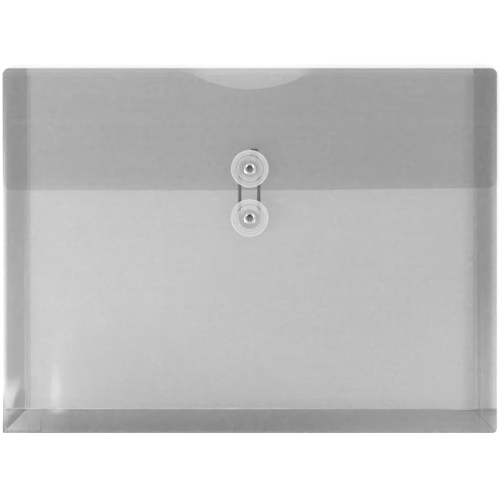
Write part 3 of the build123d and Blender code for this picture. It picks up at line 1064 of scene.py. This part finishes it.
HEM_WIDTH = 1.0 * MM


def gusset_hem(side, leaf, material):
    """The end of a side gusset's leaf, which runs up to the top fold."""
    low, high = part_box(side + "_gusset_" + leaf)
    outer_x, inner_x = (low.x, high.x) if side == "left" else (high.x, low.x)
    low_z, high_z = low.z + SHEET / 2, high.z - SHEET / 2
    outer_z, inner_z = (low_z, high_z) if leaf == "back" else (high_z, low_z)
    y = high.y + HEM_WIDTH / 2
    form = bmesh.new()
    bar(form, Vector((outer_x, y, outer_z)), Vector((inner_x, y, inner_z)), HEM_WIDTH, SHEET)
    add_form(side + "_" + leaf + "_hem", form, side + "_gusset_" + leaf, "sheet", (), material)


DOT_X = column_x(481.2)
DOT_TOP_Y = row_y(290)
DOT_END_Y = row_y(427)
DOT_PITCH = 1.3 * MM
DOT_RADIUS = 0.42 * MM
DOT_HEIGHT = 0.2 * MM
DOT_SIDES = 10
DOT_RING_SHARES = ((1.0, 0.0), (0.9, 0.5), (0.55, 0.9))  # of radius and height


def weld_dots():
    """The row of small weld marks on the front, beside its right side."""
    form = bmesh.new()
    turns = even_turns(DOT_SIDES)
    for y in spread(DOT_END_Y, DOT_TOP_Y, DOT_PITCH):
        rings = []
        for away, height in DOT_RING_SHARES:
            middle = Vector((DOT_X, y, FRONT_Z + height * DOT_HEIGHT))
            radius = away * DOT_RADIUS
            rings.append(ring(form, middle, Vector((radius, 0, 0)), Vector((0, radius, 0)), turns))
        bridge(form, rings)
    add_form("weld_dots", form, "front", "sheet", (), dot_film)


# Turned pieces
ARC_STEPS = 5
TURN_STEPS = 96
TURN_MERGE_DISTANCE = 0.0005 * MM


def rounded(corners):
    """A closed outline whose corners, each (radius, height, rounding), are eased."""
    outline = []
    for number, (radius, height, ease) in enumerate(corners):
        here = Vector((radius, height))
        if not ease:
            outline.append(here)
            continue
        before = Vector(corners[number - 1][:2]) - here
        after = Vector(corners[(number + 1) % len(corners)][:2]) - here
        first = here + before.normalized() * min(ease, before.length / 2)
        last = here + after.normalized() * min(ease, after.length / 2)
        for step in range(ARC_STEPS + 1):
            share = step / ARC_STEPS
            outline.append(here.lerp(first, 1 - share).lerp(last.lerp(here, 1 - share), share))
    return outline


def lathe(name, corners, y, z):
    """The mesh of an outline, in millimetres, turned about an upright line."""
    outline = rounded(corners)
    middle, up = Vector((0, y, z)), Vector((0, 0, MM))
    form = bmesh.new()
    rings = []
    for angle in even_turns(TURN_STEPS):
        out = Vector((math.cos(angle), math.sin(angle), 0)) * MM
        rings.append([form.verts.new(middle + point.x * out + point.y * up) for point in outline])
    for low, high in zip(rings, rings[1:] + rings[:1]):
        join(form, low, high)
    bmesh.ops.remove_doubles(form, verts=form.verts, dist=TURN_MERGE_DISTANCE)
    bmesh.ops.recalc_face_normals(form, faces=form.faces)
    return close_form(form, name)


BUTTON_CORNERS = [
    (2.40, 0.04, 0.0),
    (5.50, 0.04, 0.2),
    (5.50, 3.30, 0.5),
    (12.50, 3.30, 0.5),
    (12.50, 5.10, 0.6),
    (11.50, 5.10, 0.4),
    (11.35, 4.80, 0.3),
    (9.15, 4.80, 0.2),
    (8.90, 4.25, 0.2),
    (8.05, 4.58, 0.45),
    (6.60, 4.42, 0.5),
    (5.60, 4.15, 0.5),
    (4.15, 4.15, 0.0),
    (2.40, 4.15, 0.0),
]
EYELET_CORNERS = [
    (0.50, -1.08, 0.0),
    (3.40, -1.08, 0.14),
    (3.40, -0.78, 0.14),
    (2.30, -0.78, 0.0),
    (2.30, 4.19, 0.0),
    (4.05, 4.19, 0.06),
    (4.05, 4.50, 0.20),
    (3.55, 4.74, 0.45),
    (2.85, 4.74, 0.45),
    (2.35, 4.45, 0.25),
    (2.20, 4.10, 0.15),
    (0.50, 1.60, 0.40),
]
INSIDE_RADIUS = 2.22 * MM
BORE_TOP = 4.2 * MM
BORE_DEPTH = 2.6 * MM
BORE_SHIFT = 0.6 * MM


def button(name, y, z, milk):
    mesh = lathe(name + "_moulding", BUTTON_CORNERS, y, z)
    new_piece(name + "_moulding", mesh, name, "button", [name], milk)


def eyelet(name, body, y, z):
    mesh = lathe(name + "_metal", EYELET_CORNERS, y, z)
    for corner in mesh.vertices:
        if math.hypot(corner.co.x, corner.co.y - y) < INSIDE_RADIUS:
            corner.co.y -= BORE_SHIFT * rising(z + BORE_TOP - corner.co.z, 0, BORE_DEPTH)
    inside = shaded_bore_metal(name + "_bore", y)
    new_piece(name + "_metal", mesh, body, "eyelet", [name], bright_nickel, inside)
    for face in mesh.polygons:
        away = math.hypot(face.center.x, face.center.y - y)
        face.material_index = int(away < INSIDE_RADIUS)


# The string
STRING_LIFT = 1.36 * MM
LOWER_STRING_LIFT = 2.08 * MM
STRING_Z = FLAP_Z + STRING_LIFT
LOWER_STRING_Z = FRONT_Z + LOWER_STRING_LIFT
LOOP_RADIUS = 6.7 * MM
LOOP_SIDES = 8
LOOP_CORNER = LOOP_RADIUS * math.tan(math.pi / LOOP_SIDES)
PITCH = UPPER_Y - LOWER_Y
SLOPE = math.atan((STRING_Z - LOWER_STRING_Z) / PITCH)
REACH = PITCH / math.cos(SLOPE)
LEFT_TAIL = 1.7 * MM
RIGHT_TAIL = 4.1 * MM
TAIL_END = 13.2 * MM
LEFT_SHOULDER = 7.6 * MM
RIGHT_SHOULDER = 5.6 * MM
RIGHT_LEAVE = 2.0 * MM
RIGHT_STRAND = 6.0 * MM
ROUTE = [
    (LEFT_TAIL, TAIL_END),
    (LEFT_TAIL, LEFT_SHOULDER),
    (-LOOP_CORNER, LOOP_RADIUS),
    (-LOOP_RADIUS, LOOP_CORNER),
    (-LOOP_RADIUS, -LOOP_CORNER),
    (-LOOP_RADIUS, -REACH + LOOP_CORNER),
    (-LOOP_RADIUS, -REACH - LOOP_CORNER),
    (-LOOP_CORNER, -REACH - LOOP_RADIUS),
    (LOOP_CORNER, -REACH - LOOP_RADIUS),
    (LOOP_RADIUS, -REACH - LOOP_CORNER),
    (RIGHT_STRAND, -REACH + LOOP_CORNER),
    (RIGHT_STRAND, -LOOP_CORNER),
    (LOOP_RADIUS, RIGHT_LEAVE),
    (RIGHT_TAIL, RIGHT_SHOULDER),
    (RIGHT_TAIL, TAIL_END),
]
ROUTE_UP = Vector((0, -math.sin(SLOPE), math.cos(SLOPE)))
CURVE_STEPS = 24
CURVE_ORDER = 3


def on_route(x, y):
    """A place in the sloping plane in which the string lies."""
    return Vector((x, UPPER_Y + y * math.cos(SLOPE), STRING_Z + y * math.sin(SLOPE)))


def string_line():
    """Points along the string's smooth middle line."""
    curve = bpy.data.curves.new("string_line", "CURVE")
    curve.dimensions = "3D"
    curve.resolution_u = CURVE_STEPS
    spline = curve.splines.new("NURBS")
    spline.points.add(len(ROUTE) - 1)
    for point, place in zip(spline.points, ROUTE):
        point.co = (*on_route(*place), 1)
    spline.order_u = CURVE_ORDER
    spline.use_endpoint_u = True
    guide = new_object("string_line", curve)
    line = bpy.data.meshes.new_from_object(guide)
    points = [corner.co.copy() for corner in line.vertices]
    bpy.data.objects.remove(guide)
    return points


def even(points, step):
    """The same line with its points evenly spaced."""
    result = [points[0]]
    walked = 0.0
    for here, beyond in zip(points, points[1:]):
        length = (beyond - here).length
        while length > 0 and walked + length >= step * len(result):
            result.append(here.lerp(beyond, (step * len(result) - walked) / length))
        walked += length
    return result


def direction_at(points, place):
    return (points[min(place + 1, len(points) - 1)] - points[max(place - 1, 0)]).normalized()


def tube(form, points, radius, sides, up):
    """A closed tube along points, whose line never runs along up."""
    turns = even_turns(sides)
    rings = []
    for place, point in enumerate(points):
        ahead = direction_at(points, place)
        side = ahead.cross(up).normalized()
        rings.append(ring(form, point, radius * side, radius * side.cross(ahead), turns))
    bridge(form, rings)


BRAID_STEP = 0.36 * MM
BRAID_PITCH = 5.2 * MM
BRAID_RADIUS = 0.8 * MM
BRAID_WEAVE = 0.05 * MM
YARN_RADIUS = 0.3 * MM
CORE_RADIUS = 0.95 * MM
YARNS_EACH_WAY = 4
YARN_SIDES = 6
CORE_SIDES = 12


def tie_string():
    line = string_line()
    middle = even(line, BRAID_STEP)
    form = bmesh.new()
    tube(form, middle, CORE_RADIUS, CORE_SIDES, ROUTE_UP)
    for way in (1, -1):
        for start in even_turns(YARNS_EACH_WAY):
            strand = []
            for place, point in enumerate(middle):
                turn = math.tau * place * BRAID_STEP / BRAID_PITCH
                angle = way * turn + start
                away = BRAID_RADIUS + way * BRAID_WEAVE * math.cos(YARNS_EACH_WAY * turn)
                side = direction_at(middle, place).cross(ROUTE_UP).normalized()
                strand.append(point + away * (math.cos(angle) * side + math.sin(angle) * ROUTE_UP))
            tube(form, strand, YARN_RADIUS, YARN_SIDES, ROUTE_UP)
    piece = add_form("tie_string", form, "flap", "string", ["string_loop"], yarn)
    knot = string_knot()


KNOT_START = 9.9 * MM
KNOT_END = 12.5 * MM
KNOT_TURNS = 4
KNOT_STEPS = 48
WRAP_RADIUS = 0.33 * MM
WRAP_AWAY = 1.22 * MM
WRAP_CROSSING = 3  # how much faster than a round turn the yarn crosses over


def string_knot():
    """The tied ends: a yarn whipped round both tails."""
    middle = (LEFT_TAIL + RIGHT_TAIL) / 2
    half = (RIGHT_TAIL - LEFT_TAIL) / 2
    points = []
    for step in range(KNOT_TURNS * KNOT_STEPS + 1):
        angle = math.tau * step / KNOT_STEPS
        y = KNOT_START + (KNOT_END - KNOT_START) * step / (KNOT_TURNS * KNOT_STEPS)
        shift = half * math.copysign(min(1.0, abs(math.cos(angle)) * WRAP_CROSSING), math.cos(angle))
        place = on_route(middle + shift + WRAP_AWAY * math.cos(angle), y)
        points.append(place + ROUTE_UP * WRAP_AWAY * math.sin(angle))
    form = bmesh.new()
    along_y = (on_route(0, 1) - on_route(0, 0)).normalized()
    tube(form, points, WRAP_RADIUS, YARN_SIDES, along_y)
    return add_form("knot_wraps", form, "flap", "string", ["string_knot"], yarn)


# The studio
FLOOR_GLOW = 0.55
FLOOR_COLOUR = (0.66, 0.66, 0.66, 1)
FLOOR_SIDE = 8.0
FLOOR_DROP = 0.1 * MM


def add_floor():
    tree = new_tree("floor")
    path = tree.add("ShaderNodeLightPath").outputs
    seen = tree.maths("MAXIMUM", path["Is Camera Ray"], path["Is Glossy Ray"])
    seen = tree.maths("MAXIMUM", seen, path["Is Transmission Ray"])
    glow = tree.add("ShaderNodeEmission", {"Strength": tree.product(seen, FLOOR_GLOW)}).outputs[0]
    white = tree.add("ShaderNodeBsdfDiffuse", {"Color": FLOOR_COLOUR}).outputs[0]
    both = tree.add("ShaderNodeAddShader", {0: glow, 1: white}).outputs[0]
    half = FLOOR_SIDE / 2
    corners = [(x, y, -FLOOR_DROP) for x, y in ((-half, -half), (half, -half), (half, half), (-half, half))]
    mesh = bpy.data.meshes.new("floor")
    mesh.from_pydata(corners, [], [(0, 1, 2, 3)])
    mesh.materials.append(tree.finish(both))
    floor = new_object("floor", mesh)


SKY_LOW = 0.85
SKY_HIGH = 0.40
SKY_CHANGE = 0.3
SKY_COLOUR = (1, 1, 1, 1)


def add_world():
    world = bpy.data.worlds.new("world")
    bpy.context.scene.world = world
    tree = Tree(world, "Generated")
    sky = tree.ramp(tree.z, SKY_CHANGE, 1.0, SKY_LOW, SKY_HIGH, "LINEAR")
    seen = tree.add("ShaderNodeLightPath").outputs["Is Camera Ray"]
    inputs = {"Color": SKY_COLOUR, "Strength": tree.maths("MAXIMUM", sky, seen)}
    tree.finish(tree.add("ShaderNodeBackground", inputs).outputs[0], "ShaderNodeOutputWorld")


KEY_PLACE = (-0.60, -0.34, 0.66)
KEY_SIZE = (0.30, 0.80)
KEY_RADIANCE = 5.4
FILL_PLACE = (0.66, -0.50, 0.70)
FILL_SIZE = (0.30, 0.60)
FILL_RADIANCE = 3.6
TRANSPARENT_BOUNCES = 64
BOUNCES = 12


def add_lamp(name, place, size, radiance):
    """A rectangular soft box of a given brightness, aimed at the envelope."""
    lamp = bpy.data.lights.new(name, "AREA")
    lamp.shape = "RECTANGLE"
    lamp.size, lamp.size_y = size
    lamp.energy = radiance * math.pi * lamp.size * lamp.size_y
    holder = new_object(name, lamp)
    holder.location = place
    holder.rotation_euler = (-Vector(place)).to_track_quat("-Z", "Y").to_euler()


# The scene
dress(["back_panel"], back_film)
for side, film in (("left", left_leaf), ("right", right_leaf), ("bottom", bottom_leaf)):
    dress([side + "_gusset_back", side + "_gusset_front"], film)
dress(["upper_washer", "lower_washer"], washer_plastic)
add_camera()
tie_string()
front_sheet()
flap_sheet()
top_fold()
creases()
mitre_weld("left", -1)
mitre_weld("right", 1)
corner_tuck()
for leaf in ("back", "front"):
    gusset_hem("left", leaf, left_leaf)
    gusset_hem("right", leaf, right_leaf)
weld_dots()
button("upper_button", UPPER_Y, FLAP_Z, upper_milk)
button("lower_button", LOWER_Y, FRONT_Z, lower_milk)
eyelet("upper_eyelet", "flap", UPPER_Y, FLAP_Z)
eyelet("lower_eyelet", "front", LOWER_Y, FRONT_Z)
add_floor()
add_world()
add_lamp("key", KEY_PLACE, KEY_SIZE, KEY_RADIANCE)
add_lamp("fill", FILL_PLACE, FILL_SIZE, FILL_RADIANCE)
scene = bpy.context.scene
scene.view_settings.view_transform = "Standard"
scene.cycles.transparent_max_bounces = TRANSPARENT_BOUNCES
scene.cycles.max_bounces = BOUNCES
